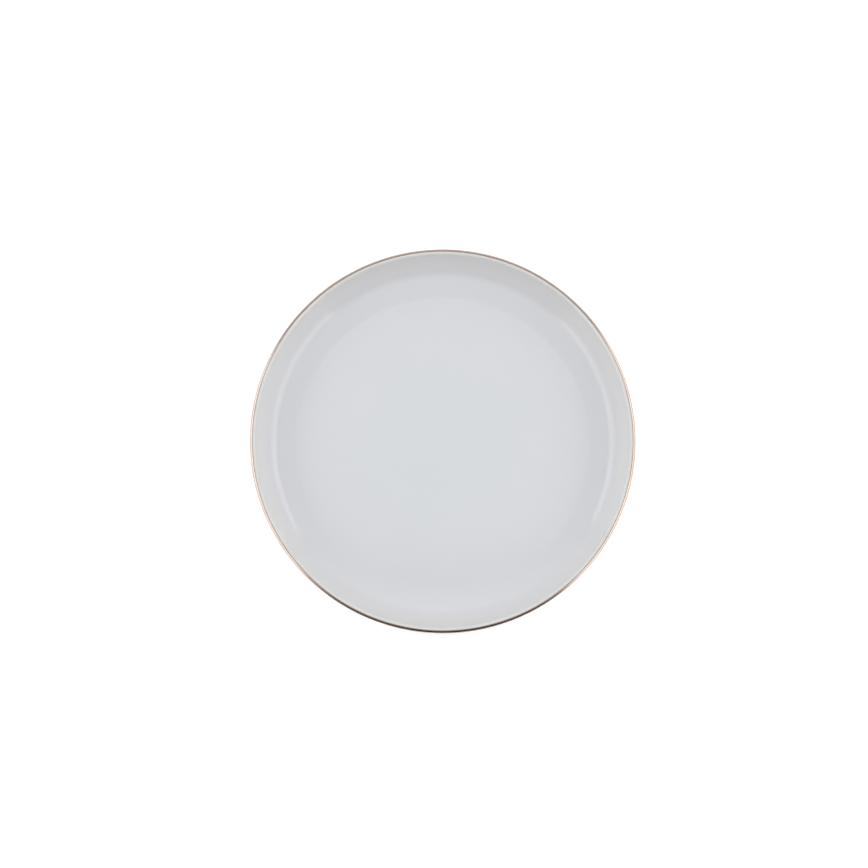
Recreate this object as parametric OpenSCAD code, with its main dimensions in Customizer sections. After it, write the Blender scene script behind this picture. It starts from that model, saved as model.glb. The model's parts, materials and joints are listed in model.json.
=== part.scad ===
// Coupe dinner plate in white porcelain: flat floor, verge, soft cove, tight bend, steep wall and round lip.
// It is glazed all over except the foot ring's standing face, and has a fired metal lustre band on its lip.
// +Z is up, and the origin is on the plate's axis in the plane of the standing face.

/* [Overall] */
// Diameter across the lip, lustre band included
plate_d = 270; // [250:1:300]
// Height of the food face above the table
floor_z = 7.6; // [7.4:0.1:9]

/* [Face curve] */
// Radius of the verge, the small curve that ends the flat floor
verge_r = 20; // [10:1:40]
// Slope where the verge meets the cove, in degrees
verge_slope = 5; // [2:1:8]
// Radius of the shallow cove
cove_r = 57; // [46:1:66]
// Slope where the cove meets the bend, in degrees
cove_slope = 18; // [12:1:24]
// Radius of the tight bend at the root of the wall
bend_r = 13; // [8:0.5:18]
// Slope where the bend meets the wall, in degrees
bend_slope = 45; // [40:1:50]
// Radius of the wall's slow curve
wall_r = 38; // [30:1:46]
// Slope where the wall meets the lip, in degrees
wall_slope = 70; // [62:1:72]

/* [Coats] */
// Thickness of the fired clay
clay_t = 3.7; // [3.2:0.1:4]
// Thickness of the glaze
glaze_t = 0.3; // [0.2:0.05:0.35]
// Thickness of the lustre band
lustre_t = 0.1; // [0.08:0.01:0.15]
// Degrees outwards from the lip's crest to the band's inner edge
lustre_start = 0; // [0:1:20]
// Degrees outwards from the lip's crest to the band's lower edge
lustre_end = 106; // [95:1:107]

/* [Foot ring] */
// Distance from the floor's end in to the middle of the standing face
foot_inset = 17.3; // [12:0.5:30]
// Width of the flat standing face
foot_land = 2.6; // [2:0.1:3.2]
// Lean of the foot ring's sides from upright, in degrees
foot_lean = 18; // [10:1:24]
// Rounding at the edges of the standing face
foot_round = 0.7; // [0.4:0.1:0.9]
// Fillet where the foot ring grows out of the floor
foot_fillet = 1.6; // [1:0.1:1.8]
// Bare clay left between the rounding and the glaze's edge
glaze_gap = 0.25; // [0.1:0.05:0.4]

/* [Hidden] */
turn_fn = 240; // facets round the axis when previewed
face_step = 2; // degrees a facet takes on the face's curves
lip_step = 6; // degrees a facet takes on the lip
edge_step = 12; // degrees a facet takes on small edges

// Unit vector from an arc's centre to its surface, turned outwards by an angle from straight down
function down(a) = [sin(a), -cos(a)];

// Points along an arc, both ends included. first = 1 leaves out the point that the line before it ends on
function arc(c, r, from, to, step, first = 0) =
    let (n = ceil(abs(to - from) / step)) [for (i = [first:n]) c + r * down(from + (to - from) * i / n)];

function backwards(line) = [for (i = [len(line) - 1:-1:0]) line[i]];

wall_t = clay_t + 2 * glaze_t;
lip_r = wall_t / 2;
clay_lip_r = clay_t / 2;
clay_back = glaze_t + clay_t; // depth of the clay's underside below the food face

// Each curve's centre lies on the line that it shares with the curve before, so the face is smooth all the way
run_out = (verge_r - cove_r) * sin(verge_slope) + (cove_r - bend_r) * sin(cove_slope)
    + (bend_r - wall_r) * sin(bend_slope) + (wall_r + lip_r) * sin(wall_slope);
floor_r = plate_d / 2 - lustre_t - lip_r - run_out;
verge_c = [floor_r, floor_z + verge_r];
cove_c = verge_c + (verge_r - cove_r) * down(verge_slope);
bend_c = cove_c + (cove_r - bend_r) * down(cove_slope);
wall_c = bend_c + (bend_r - wall_r) * down(bend_slope);
lip_c = wall_c + (wall_r + lip_r) * down(wall_slope);

// Outer side of the foot ring: rounded edge, leaning side, fillet. The inner side mirrors it
foot_r = floor_r - foot_inset;
clay_base_z = floor_z - clay_back;
side_out = [cos(foot_lean), -sin(foot_lean)];
side_up = [sin(foot_lean), cos(foot_lean)];
round_c = [foot_r + foot_land / 2, foot_round];
side_low = round_c + foot_round * side_out;
side_run = (clay_base_z - foot_fillet * (1 - sin(foot_lean)) - side_low[1]) / cos(foot_lean);
side_high = side_low + side_run * side_up;
fillet_c = side_high + foot_fillet * side_out;
bare_end = side_low + glaze_gap * side_up;
stop_c = bare_end + glaze_t * side_up; // centre of the glaze's rounded edge

// Line at a depth below the food face, from the floor's end to the lip
function face_line(depth) = concat(
    arc(verge_c, verge_r + depth, 0, verge_slope, face_step),
    arc(cove_c, cove_r + depth, verge_slope, cove_slope, face_step, 1),
    arc(bend_c, bend_r + depth, cove_slope, bend_slope, face_step, 1),
    arc(wall_c, wall_r + depth, bend_slope, wall_slope, face_step)
);

// Line over the lip between its two tangent points, with a point at each edge of the lustre band
function lip_line(r) = concat(
    arc(lip_c, r, 180 + wall_slope, 180 - lustre_start, lip_step, 1),
    band_line(r),
    arc(lip_c, r, 180 - lustre_end, wall_slope, lip_step, 1)
);

// The band's part of that line, with a point at the plate's widest place
function band_line(r) = concat(
    arc(lip_c, r, 180 - lustre_start, 90, lip_step),
    arc(lip_c, r, 90, 180 - lustre_end, lip_step, 1)
);

// Fillet and leaning side at a height above the clay's surface, from the floor down to the end of the glaze
function foot_line(coat) = concat(
    arc(fillet_c, foot_fillet - coat, 180, 270 - foot_lean, edge_step),
    coat > 0 ? arc(stop_c, coat, 90 - foot_lean, -foot_lean, edge_step) : [bare_end]
);

function mirrored(line) = [for (p = line) [2 * foot_r - p[0], p[1]]];

// Bare part of the foot ring's outer side, down to the standing face
bare_line = concat([bare_end], arc(round_c, foot_round, 90 - foot_lean, 0, edge_step));

module turned(outline) {
    rotate_extrude($fn = turn_fn) polygon(outline);
}

// Fired clay: floor, coupe wall, lip and foot ring in one piece
module body() {
    color("#efece6") turned(concat(
        [[0, floor_z - glaze_t]],
        face_line(glaze_t),
        lip_line(clay_lip_r),
        backwards(face_line(clay_back)),
        foot_line(0),
        bare_line,
        backwards(mirrored(bare_line)),
        backwards(mirrored(foot_line(0))),
        [[0, clay_base_z]]
    ));
}

// Glaze from the middle of the food face, over the lip, down to the foot ring
module glaze_coat() {
    color("#f4f6f8") turned(concat(
        [[0, floor_z]],
        face_line(0),
        lip_line(lip_r),
        backwards(face_line(wall_t)),
        foot_line(glaze_t),
        backwards(foot_line(0)),
        face_line(clay_back),
        backwards(lip_line(clay_lip_r)),
        backwards(face_line(glaze_t)),
        [[0, floor_z - glaze_t]]
    ));
}

// Glaze in the recess inside the foot ring
module base_glaze() {
    color("#f1f3f5") turned(concat(
        [[0, clay_base_z], [0, floor_z - wall_t]],
        mirrored(foot_line(glaze_t)),
        backwards(mirrored(foot_line(0)))
    ));
}

// Metal lustre over the glaze, on the outer half of the lip
module rim_band() {
    color("#c98f78") turned(concat(
        band_line(lip_r),
        backwards(band_line(lip_r + lustre_t))
    ));
}

body();
glaze_coat();
base_glaze();
rim_band();
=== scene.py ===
import json
import math

import bpy
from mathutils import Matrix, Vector


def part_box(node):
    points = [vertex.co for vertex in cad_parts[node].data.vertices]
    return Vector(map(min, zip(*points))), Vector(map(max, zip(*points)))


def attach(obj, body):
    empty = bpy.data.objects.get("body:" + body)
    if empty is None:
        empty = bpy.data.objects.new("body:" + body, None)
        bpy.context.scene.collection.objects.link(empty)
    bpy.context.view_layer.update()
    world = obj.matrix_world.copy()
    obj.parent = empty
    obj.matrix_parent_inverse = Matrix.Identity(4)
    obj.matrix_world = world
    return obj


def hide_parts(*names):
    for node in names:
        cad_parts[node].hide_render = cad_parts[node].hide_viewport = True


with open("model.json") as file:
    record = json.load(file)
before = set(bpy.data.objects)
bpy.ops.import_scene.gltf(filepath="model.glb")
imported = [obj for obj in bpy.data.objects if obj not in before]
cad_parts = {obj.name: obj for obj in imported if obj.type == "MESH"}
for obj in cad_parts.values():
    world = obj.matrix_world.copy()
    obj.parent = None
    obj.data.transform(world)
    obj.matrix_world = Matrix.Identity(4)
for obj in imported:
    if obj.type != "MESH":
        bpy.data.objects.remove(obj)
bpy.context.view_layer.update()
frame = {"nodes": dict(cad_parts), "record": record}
print("frame loaded:", ", ".join(sorted(frame["nodes"])))


class Wire:  # a socket that can be used in sums
    def __init__(self, finish, socket):
        self.finish = finish
        self.socket = socket

    def maths(self, operation, *values):
        return self.finish.node("ShaderNodeMath", {"operation": operation}, dict(enumerate(values)))

    def __add__(self, other):
        return self.maths("ADD", self, other)

    def __radd__(self, other):
        return self.maths("ADD", other, self)

    def __sub__(self, other):
        return self.maths("SUBTRACT", self, other)

    def __rsub__(self, other):
        return self.maths("SUBTRACT", other, self)

    def __mul__(self, other):
        return self.maths("MULTIPLY", self, other)

    def __rmul__(self, other):
        return self.maths("MULTIPLY", other, self)

    def __truediv__(self, other):
        return self.maths("DIVIDE", self, other)

    def __rtruediv__(self, other):
        return self.maths("DIVIDE", other, self)


class Finish:  # the nodes of one material, or of the world
    def __init__(self, name, shelf=None):
        self.block = (bpy.data.materials if shelf is None else shelf).new(name)
        self.block.use_nodes = True
        self.tree = self.block.node_tree
        self.tree.nodes.clear()

    def node(self, kind, settings=None, sockets=None, out=0):
        made = self.tree.nodes.new(kind)
        for key, value in (settings or {}).items():
            if key == "stops":
                self.setStops(made, value)
            else:
                setattr(made, key, value)
        for key, value in (sockets or {}).items():
            if isinstance(value, Wire):
                self.tree.links.new(value.socket, made.inputs[key])
            else:
                made.inputs[key].default_value = value
        return Wire(self, made.outputs[out]) if made.outputs else None

    def setStops(self, ramp, stops):
        elements = ramp.color_ramp.elements
        while len(elements) < len(stops):
            elements.new(0.5)
        for element, (place, grey) in zip(elements, stops):
            element.position = place
            element.color = (grey, grey, grey, 1)

    def ramp(self, value, stops):
        return self.node("ShaderNodeValToRGB", {"stops": stops}, {"Fac": value})

    def mixColour(self, factor, first, second):
        return self.node("ShaderNodeMix", {"data_type": "RGBA"}, {"Factor": factor, 6: first, 7: second}, 2)

    def noise(self, place, scale, detail=2.0, rough=0.5):
        sockets = {"Vector": place, "Scale": scale, "Detail": detail, "Roughness": rough}
        return self.node("ShaderNodeTexNoise", None, sockets)

    def bump(self, height, distance, strength=1.0, normal=None):
        sockets = {"Height": height, "Distance": distance, "Strength": strength}
        if normal:
            sockets["Normal"] = normal
        return self.node("ShaderNodeBump", None, sockets)

    def surface(self, **sockets):
        named = {key.replace("_", " "): value for key, value in sockets.items()}
        shader = self.node("ShaderNodeBsdfPrincipled", None, named)
        return self.closed(shader)

    def closed(self, shader):
        self.node("ShaderNodeOutputMaterial", None, {"Surface": shader})
        return self.block


plateCurve = {  # metres and degrees
    "clay": 0.0037,
    "glaze": 0.0003,
    "lustre": 0.0001,
    "vergeRadius": 0.020,
    "vergeSlope": 5,
    "coveRadius": 0.057,
    "coveSlope": 18,
    "bendRadius": 0.013,
    "bendSlope": 45,
    "wallRadius": 0.038,
    "wallSlope": 70,
    "lustreStart": 0,
    "lustreEnd": 106,
    "footInset": 0.0173,
    "footLand": 0.0026,
    "footLean": 18,
    "footRound": 0.0007,
    "footFillet": 0.0016,
    "glazeGap": 0.00025,
}


def down(degrees):  # unit vector in the XZ plane, turned outwards from straight down
    angle = math.radians(degrees)
    return Vector((math.sin(angle), 0, -math.cos(angle)))


def mirrored(point):  # about the middle of the foot ring
    return Vector((2 * footRadius - point.x, 0, point.z))


curve = plateCurve
floorZ = next(m["pos_m"][2] for m in frame["record"]["mounts"] if m["name"] == "floor_face")
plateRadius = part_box("rim_band")[1].x
wallThick = curve["clay"] + 2 * curve["glaze"]
lipRadius = wallThick / 2
coveTurn = curve["coveSlope"] - curve["vergeSlope"]
bendTurn = curve["bendSlope"] - curve["coveSlope"]
wallTurn = curve["wallSlope"] - curve["bendSlope"]
lipFromVerge = (
    (curve["vergeRadius"] - curve["coveRadius"]) * down(curve["vergeSlope"])
    + (curve["coveRadius"] - curve["bendRadius"]) * down(curve["coveSlope"])
    + (curve["bendRadius"] - curve["wallRadius"]) * down(curve["bendSlope"])
    + (curve["wallRadius"] + lipRadius) * down(curve["wallSlope"])
)
floorRadius = plateRadius - curve["lustre"] - lipRadius - lipFromVerge.x
vergeCentre = Vector((floorRadius, 0, floorZ + curve["vergeRadius"]))
coveCentre = vergeCentre + (curve["vergeRadius"] - curve["coveRadius"]) * down(curve["vergeSlope"])
bendCentre = coveCentre + (curve["coveRadius"] - curve["bendRadius"]) * down(curve["coveSlope"])
wallCentre = bendCentre + (curve["bendRadius"] - curve["wallRadius"]) * down(curve["bendSlope"])
lipCentre = vergeCentre + lipFromVerge

footRadius = floorRadius - curve["footInset"]
clayBaseZ = floorZ - curve["glaze"] - curve["clay"]
sideOut = down(90 - curve["footLean"])
sideUp = down(180 - curve["footLean"])
roundCentre = Vector((footRadius + curve["footLand"] / 2, 0, curve["footRound"]))
sideLow = roundCentre + curve["footRound"] * sideOut
filletLowZ = clayBaseZ - curve["footFillet"] * (1 + sideOut.z)
sideHigh = sideLow + (filletLowZ - sideLow.z) / sideUp.z * sideUp
filletCentre = sideHigh + curve["footFillet"] * sideOut
bareEnd = sideLow + curve["glazeGap"] * sideUp
stopCentre = bareEnd + curve["glaze"] * sideUp
filletTurn = 90 - curve["footLean"]


turnSteps = 288
arcSteps = {"verge": 6, "cove": 12, "bend": 14, "wall": 12, "lip": 30, "fillet": 8, "edge": 5}


def clearSelection():
    bpy.ops.object.select_all(action="DESELECT")


def startLine(name, point):
    clearSelection()
    bpy.ops.mesh.primitive_plane_add(size=0.001, location=point)
    line = bpy.context.object
    line.name = line.data.name = name
    bpy.ops.object.mode_set(mode="EDIT")
    bpy.ops.mesh.merge(type="CENTER")
    return line


def lineBy(step, cuts=1):
    for _ in range(cuts):
        bpy.ops.mesh.extrude_region_move(TRANSFORM_OT_translate={"value": step / cuts})


def arcBy(centre, degrees, steps):
    bpy.ops.mesh.spin(steps=steps, angle=math.radians(degrees), center=centre, axis=(0, 1, 0))


def wallUp():  # from the floor's end to the lip
    arcBy(vergeCentre, curve["vergeSlope"], arcSteps["verge"])
    arcBy(coveCentre, coveTurn, arcSteps["cove"])
    arcBy(bendCentre, bendTurn, arcSteps["bend"])
    arcBy(wallCentre, wallTurn, arcSteps["wall"])


def wallDown():
    arcBy(wallCentre, -wallTurn, arcSteps["wall"])
    arcBy(bendCentre, -bendTurn, arcSteps["bend"])
    arcBy(coveCentre, -coveTurn, arcSteps["cove"])
    arcBy(vergeCentre, -curve["vergeSlope"], arcSteps["verge"])


def turnLine(line, smoothAngle=50):
    bpy.ops.mesh.select_all(action="SELECT")
    bpy.ops.mesh.remove_doubles(threshold=1e-6)
    bpy.ops.mesh.spin(steps=turnSteps, angle=math.tau, center=(0, 0, 0), axis=(0, 0, 1))
    bpy.ops.mesh.select_all(action="SELECT")
    bpy.ops.mesh.remove_doubles(threshold=1e-6)
    bpy.ops.mesh.normals_make_consistent(inside=False)
    bpy.ops.object.mode_set(mode="OBJECT")
    bpy.ops.object.transform_apply(location=True, rotation=True, scale=True)
    bpy.ops.object.shade_smooth_by_angle(angle=math.radians(smoothAngle))
    print(line.name, "turned:", len(line.data.vertices), "points")
    return line


def makeBody():
    floorLine = Vector((floorRadius, 0, 0))
    body = startLine("bisqueBody", (0, 0, floorZ - curve["glaze"]))
    lineBy(floorLine, 12)
    wallUp()
    arcBy(lipCentre, -180, arcSteps["lip"])
    wallDown()
    lineBy(Vector((filletCentre.x - floorRadius, 0, 0)), 3)
    arcBy(filletCentre, filletTurn, arcSteps["fillet"])
    lineBy(bareEnd - sideHigh, 2)
    lineBy(sideLow - bareEnd)
    arcBy(roundCentre, -filletTurn, arcSteps["edge"])
    lineBy(Vector((-curve["footLand"], 0, 0)), 4)
    arcBy(mirrored(roundCentre), -filletTurn, arcSteps["edge"])
    lineBy(mirrored(bareEnd) - mirrored(sideLow))
    lineBy(mirrored(sideHigh) - mirrored(bareEnd), 2)
    arcBy(mirrored(filletCentre), filletTurn, arcSteps["fillet"])
    lineBy(Vector((-mirrored(filletCentre).x, 0, 0)), 10)
    return turnLine(body)


def makeGlazeCoat():
    coat = startLine("glazeCoat", (0, 0, floorZ))
    lineBy(Vector((floorRadius, 0, 0)), 26)
    wallUp()
    arcBy(lipCentre, -180, arcSteps["lip"])
    wallDown()
    lineBy(Vector((filletCentre.x - floorRadius, 0, 0)), 4)
    arcBy(filletCentre, filletTurn, arcSteps["fillet"])
    lineBy(stopCentre - sideHigh, 2)
    arcBy(stopCentre, -90, arcSteps["edge"])
    lineBy(sideHigh - bareEnd, 2)
    arcBy(filletCentre, -filletTurn, arcSteps["fillet"])
    lineBy(Vector((floorRadius - filletCentre.x, 0, 0)), 4)
    wallUp()
    arcBy(lipCentre, 180, arcSteps["lip"])
    wallDown()
    lineBy(Vector((-floorRadius, 0, 0)), 8)
    return turnLine(coat)


def makeBaseGlaze():
    inner = mirrored(filletCentre)
    base = startLine("baseGlaze", (0, 0, clayBaseZ))
    lineBy(Vector((inner.x, 0, 0)), 8)
    arcBy(inner, -filletTurn, arcSteps["fillet"])
    lineBy(mirrored(bareEnd) - mirrored(sideHigh), 2)
    arcBy(mirrored(stopCentre), -90, arcSteps["edge"])
    lineBy(mirrored(sideHigh) - mirrored(stopCentre), 2)
    arcBy(inner, filletTurn, arcSteps["fillet"])
    lineBy(Vector((-inner.x, 0, 0)), 20)
    return turnLine(base)


bandEdge = {"taper": 1.5, "steps": 36}


def makeRimBand():
    taper = bandEdge["taper"]
    sweep = curve["lustreEnd"] - curve["lustreStart"]
    outer = lipRadius + curve["lustre"]
    start = lipCentre + lipRadius * down(180 - curve["lustreStart"])
    end = lipCentre + lipRadius * down(180 - curve["lustreEnd"])
    outerStart = lipCentre + outer * down(180 - curve["lustreStart"] - taper)
    outerEnd = lipCentre + outer * down(180 - curve["lustreEnd"] + taper)
    band = startLine("rimBand", start)
    arcBy(lipCentre, -sweep, bandEdge["steps"])
    lineBy(outerEnd - end)
    arcBy(lipCentre, sweep - 2 * taper, bandEdge["steps"])
    lineBy(start - outerStart)
    return turnLine(band)


swell = {"size": 0.042, "height": 0.00005, "fromZ": 0.0055}  # slow waves that firing leaves


def addSwell(piece):
    clouds = bpy.data.textures.get("firingSwell") or bpy.data.textures.new("firingSwell", "CLOUDS")
    clouds.noise_scale = swell["size"]
    clouds.noise_depth = 1
    group = piece.vertex_groups.new(name="aboveFoot")
    group.add([v.index for v in piece.data.vertices if v.co.z > swell["fromZ"]], 1.0, "REPLACE")
    clearSelection()
    piece.select_set(True)
    bpy.context.view_layer.objects.active = piece
    displace = piece.modifiers.new("firingSwell", "DISPLACE")
    displace.texture = clouds
    displace.texture_coords = "LOCAL"
    displace.direction = "Z"
    displace.strength = swell["height"]
    displace.mid_level = 0.5
    displace.vertex_group = "aboveFoot"
    bpy.ops.object.modifier_apply(modifier=displace.name)


def objectPlace(finish):
    return finish.node("ShaderNodeTexCoord", None, None, 3)


glazeLook = {
    "pool": (0.726, 0.756, 0.780, 1),
    "cool": (0.744, 0.754, 0.782, 1),
    "clear": (0.754, 0.759, 0.786, 1),
    "cove": (0.802, 0.805, 0.836, 1),
    "wall": (0.795, 0.792, 0.788, 1),
    "thin": (0.82, 0.812, 0.802, 1),
    "speck": (0.42, 0.38, 0.33, 1),
    "poolEdge": (0.35, 0.75),  # of the floor's radius
    "coveEdge": (0.76, 0.87),  # of the plate's radius
    "wallEdge": (0.88, 0.955),
    "lipEdge": 0.002,
    "drift": 0.05,
    "driftScale": 14,
    "cloudScale": 26,
    "speckScale": 70,
    "speckSize": (0.006, 0.016),
    "pickScale": 31,
    "speckPick": (0.60, 0.64),
    "speckDepth": 0.5,
    "wipeScale": 95,
    "peelScale": 420,
    "rollScale": 60,
    "smooth": 0.035,
    "dull": 0.075,
    "peel": 0.0000035,
    "roll": 0.00000875,
    "refraction": 1.52,
}


def axisRadius(finish, place):
    x, y = (finish.node("ShaderNodeSeparateXYZ", None, {0: place}, i) for i in range(2))
    square = x * x + y * y
    return square.maths("SQRT", square)


def rising(finish, value, edge):  # from 0 to 1 between an edge's two ends
    return finish.ramp(value, [(edge[0], 0), (edge[1], 1)])


def falling(finish, value, edge):
    return finish.ramp(value, [(edge[0], 1), (edge[1], 0)])


def glazeFinish(name):
    look = glazeLook
    finish = Finish(name)
    place = objectPlace(finish)
    radius = axisRadius(finish, place)
    drift = (finish.noise(place, look["driftScale"], 3) - 0.5) * look["drift"]  # a wandering edge
    cloud = rising(finish, finish.noise(place, look["cloudScale"], 3), (0.35, 0.65))
    colour = finish.mixColour(cloud, look["cool"], look["clear"])
    pool = falling(finish, (radius + drift) / floorRadius, look["poolEdge"])
    colour = finish.mixColour(pool, colour, look["pool"])
    outwards = radius / plateRadius
    colour = finish.mixColour(rising(finish, outwards, look["coveEdge"]), colour, look["cove"])
    colour = finish.mixColour(rising(finish, outwards, look["wallEdge"]), colour, look["wall"])
    lip = rising(finish, (radius - (lipCentre.x - look["lipEdge"])) / look["lipEdge"], (0, 1))
    colour = finish.mixColour(lip, colour, look["thin"])
    cells = {"feature": "F1", "distance": "EUCLIDEAN"}
    near = finish.node("ShaderNodeTexVoronoi", cells, {"Vector": place, "Scale": look["speckScale"]}, 0)
    pick = rising(finish, finish.noise(place, look["pickScale"], 0), look["speckPick"])
    speck = falling(finish, near, look["speckSize"]) * pick
    colour = finish.mixColour(speck * look["speckDepth"], colour, look["speck"])
    wipe = finish.noise(place, look["wipeScale"], 4, 0.6)
    rough = look["smooth"] + wipe * (look["dull"] - look["smooth"])
    peel = finish.bump(finish.noise(place, look["peelScale"], 2), look["peel"])
    roll = finish.bump(finish.noise(place, look["rollScale"], 1), look["roll"], 1.0, peel)
    return finish.surface(Base_Color=colour, Roughness=rough, IOR=look["refraction"], Normal=roll)


bisqueLook = {
    "clay": (0.74, 0.70, 0.64, 1),
    "warm": (0.66, 0.60, 0.52, 1),
    "mark": (0.42, 0.40, 0.38, 1),
    "toneScale": 160,
    "markScale": 75,
    "roughScale": 900,
    "grainScale": 2600,
    "rough": 0.62,
    "rougher": 0.25,
    "grain": 0.00004,
}


def bisqueFinish():
    look = bisqueLook
    finish = Finish("bisque")
    place = objectPlace(finish)
    tone = rising(finish, finish.noise(place, look["toneScale"], 4), (0.3, 0.7))
    colour = finish.mixColour(tone, look["clay"], look["warm"])
    mark = finish.ramp(finish.noise(place, look["markScale"], 6, 0.7), [(0.56, 0), (0.72, 0.7)])
    colour = finish.mixColour(mark, colour, look["mark"])
    grain = finish.bump(finish.noise(place, look["grainScale"], 3), look["grain"])
    rough = look["rough"] + finish.noise(place, look["roughScale"], 2) * look["rougher"]
    return finish.surface(Base_Color=colour, Roughness=rough, Normal=grain)


lustreLook = {
    "rose": (0.535, 0.428, 0.365, 1),
    "pale": (0.59, 0.495, 0.435, 1),
    "cloudScale": 55,
    "streakScale": 900,
    "across": 9,  # how much finer the streaks are across the band
    "along": 0.12,
    "polish": 0.13,
    "brushed": 0.16,
    "line": 0.000004,
}


def lustreFinish():
    look = lustreLook
    finish = Finish("roseLustre")
    place = objectPlace(finish)
    x, y, z = (finish.node("ShaderNodeSeparateXYZ", None, {0: place}, i) for i in range(3))
    over = axisRadius(finish, place) * look["across"]
    around = x * look["along"] + y * look["along"]
    across = finish.node("ShaderNodeCombineXYZ", None, {0: over, 1: z * look["across"], 2: around})
    streak = finish.noise(across, look["streakScale"], 3)
    cloud = rising(finish, finish.noise(place, look["cloudScale"], 2), (0.3, 0.7))
    colour = finish.mixColour(cloud, look["rose"], look["pale"])
    rough = look["polish"] + streak * look["brushed"]
    line = finish.bump(streak, look["line"])
    return finish.surface(Base_Color=colour, Metallic=1.0, Roughness=rough, Normal=line)


makers = {
    "body": (makeBody, "bisque"),
    "glaze_coat": (makeGlazeCoat, "glaze"),
    "base_glaze": (makeBaseGlaze, "glaze"),
    "rim_band": (makeRimBand, "lustre"),
}
finishes = {
    "bisque": bisqueFinish(),
    "glaze": glazeFinish("porcelainGlaze"),
    "lustre": lustreFinish(),
}

for node, (make, slotName) in makers.items():
    piece = make()
    addSwell(piece)
    piece.data.materials.append(finishes[slotName])
    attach(piece, "root")
    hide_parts(node)
print("plate made, lip centre at", round(lipCentre.x, 5), round(lipCentre.z, 5))


room = {"horizon": (0.33, 0.32, 0.31, 1), "zenith": (0.62, 0.63, 0.65, 1), "curve": 1.5}
table = {  # the glow is dimmed under and around the plate, a painted contact shadow
    "size": 14, "colour": (0.82, 0.82, 0.82, 1), "glow": 0.85, "reach": 0.25,
    "fade": [(0.40, 0.38), (0.54, 0.52), (0.88, 1)],
}
softboxes = {
    "overhead": {
        "at": (0, 0.515, 6.0), "aim": (0, 0.515, 0), "wide": 1.13, "deep": 1.20,
        "power": 1.34, "low": 1.0, "fade": (0.03, 0.04, 0.3),
    },
    "backdrop": {
        "at": (0, 1.25, 0.78), "aim": (0, 0, 0.78), "wide": 2.8, "deep": 1.56,
        "power": 0.76, "low": 0.9, "fade": (0.02, 0.2, 0.01),
    },
    "left": {
        "at": (-1.0, -0.103, 0.69), "aim": (0, -0.103, 0.69), "wide": 1.66, "deep": 1.38,
        "power": 2.12, "low": 0.38, "fade": (0.05, 0.01, 0.01),
    },
    "right": {
        "at": (1.0, -0.148, 0.69), "aim": (0, -0.148, 0.69), "wide": 2.0, "deep": 1.38,
        "power": 2.06, "low": 0.36, "fade": (0.05, 0.01, 0.01),
    },
}
flags = {
    "nearFlag": {"at": (0, -0.25, 0.13), "wide": 0.42, "tall": 0.26, "fade": 0.35},
    "farFlag": {"at": (0, -0.90, 0.60), "wide": 1.8, "tall": 1.2, "fade": 0.7},
}
flagTone = (0.02, 0.02, 0.018, 1)
softRise = (0.10, 0.36)  # where a softbox gets bright, up its height


def standPanel(name, at, wide, deep, aim=None):
    clearSelection()
    bpy.ops.mesh.primitive_plane_add(size=1, location=at)
    panel = bpy.context.object
    panel.name = name
    panel.scale = (wide, deep, 1)
    if aim:
        panel.rotation_euler = (Vector(aim) - Vector(at)).to_track_quat("-Z", "Y").to_euler()
    return panel


def layTable():
    panel = standPanel("floor", (0, 0, 0), table["size"], table["size"])
    clearSelection()
    panel.select_set(True)
    bpy.ops.object.transform_apply(location=False, rotation=False, scale=True)
    finish = Finish("paleTable")
    # painted shade: the table's glow fades out towards the plate's foot, darkening the floor under and
    # around the plate
    glowWithPaintedShade = finish.ramp(axisRadius(finish, objectPlace(finish)) / table["reach"], table["fade"])
    look = {"Base Color": table["colour"], "Roughness": 0.9, "Emission Color": glowWithPaintedShade}
    top = finish.node("ShaderNodeBsdfPrincipled", None, {**look, "Emission Strength": table["glow"]})
    clear = finish.node("ShaderNodeBsdfTransparent")
    below = finish.node("ShaderNodeNewGeometry", None, None, 6)  # clear from below, to show the foot ring
    cover = finish.node("ShaderNodeMixShader", None, {0: below, 1: top, 2: clear})
    panel.data.materials.append(finish.closed(cover))


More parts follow.
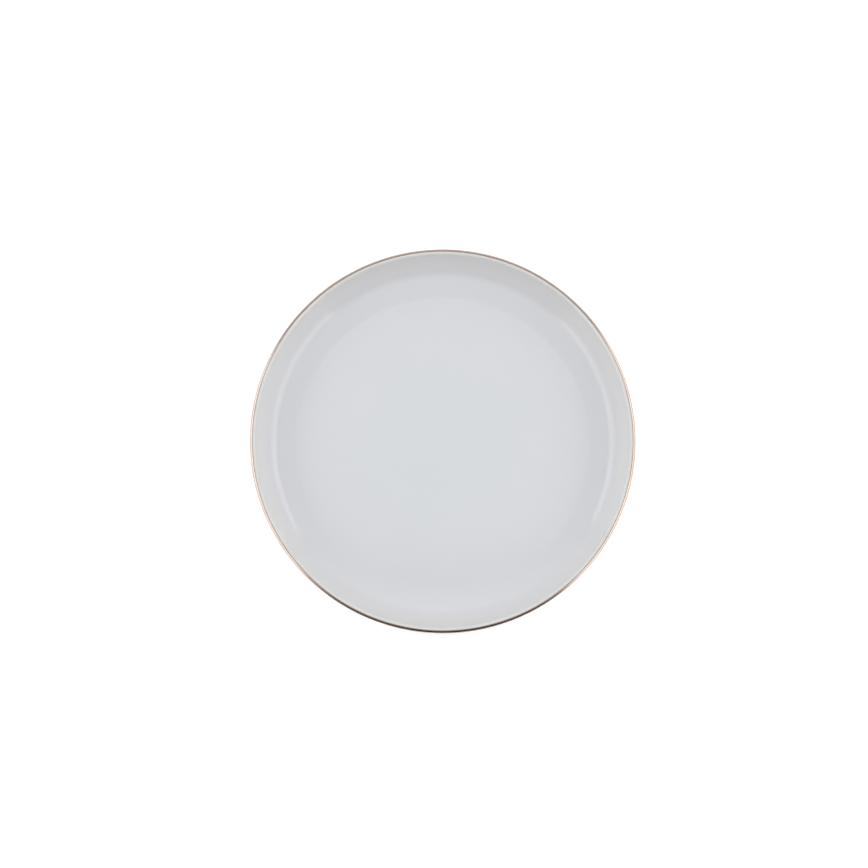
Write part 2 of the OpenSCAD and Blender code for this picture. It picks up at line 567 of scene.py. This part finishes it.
def hangSoftbox(name, box):
    panel = standPanel(name, box["at"], box["wide"], box["deep"], box["aim"])
    panel.visible_camera = False
    finish = Finish(name)
    place = objectPlace(finish)
    x, y = (finish.node("ShaderNodeSeparateXYZ", None, {0: place}, i) for i in range(2))
    edges = (0.5 - x.maths("ABSOLUTE", x), 0.5 - y, 0.5 + y)
    fade = finish.ramp(y + 0.5, [(softRise[0], box["low"]), (softRise[1], 1)])
    for edge, width in zip(edges, box["fade"]):
        fade = rising(finish, edge / width, (0, 1)) * fade
    light = finish.node("ShaderNodeEmission", None, {"Strength": fade * box["power"]})
    panel.data.materials.append(finish.closed(light))


def standFlag(name, plan):
    panel = standPanel(name, plan["at"], plan["wide"], plan["tall"])
    panel.rotation_euler = (math.radians(90), 0, 0)
    panel.visible_camera = False
    finish = Finish(name)
    y = finish.node("ShaderNodeSeparateXYZ", None, {0: objectPlace(finish)}, 1)
    solid = rising(finish, (0.5 - y) / plan["fade"], (0, 1))
    panel.data.materials.append(finish.surface(Base_Color=flagTone, Roughness=0.9, Alpha=solid))


def lightRoom():  # warmer and dimmer towards the horizon
    sky = Finish("studio", bpy.data.worlds)
    z = sky.node("ShaderNodeSeparateXYZ", None, {0: sky.node("ShaderNodeTexCoord")}, 2)
    rise = sky.node("ShaderNodeMath", {"operation": "POWER", "use_clamp": True}, {0: z, 1: room["curve"]})
    tone = sky.mixColour(rise, room["horizon"], room["zenith"])
    sky.node("ShaderNodeOutputWorld", None, {0: sky.node("ShaderNodeBackground", None, {"Color": tone})})
    bpy.context.scene.world = sky.block


lightRoom()
layTable()
for boxName, boxPlan in softboxes.items():
    hangSoftbox(boxName, boxPlan)
for flagName, flagPlan in flags.items():
    standFlag(flagName, flagPlan)
print("studio set")


view = {"from": 1.6, "elevation": 84.4, "lens": 94.84, "aim": (-0.0061, 0.0041, 0.0260)}


def placeCamera():
    rise = math.radians(view["elevation"])
    aim = Vector(view["aim"])
    at = aim + view["from"] * Vector((0, -math.cos(rise), math.sin(rise)))
    clearSelection()
    bpy.ops.object.camera_add(location=at)
    camera = bpy.context.object
    camera.rotation_euler = (aim - at).to_track_quat("-Z", "Y").to_euler()
    camera.data.lens = view["lens"]
    bpy.context.scene.camera = camera


placeCamera()
bpy.context.scene.view_settings.view_transform = "Standard"
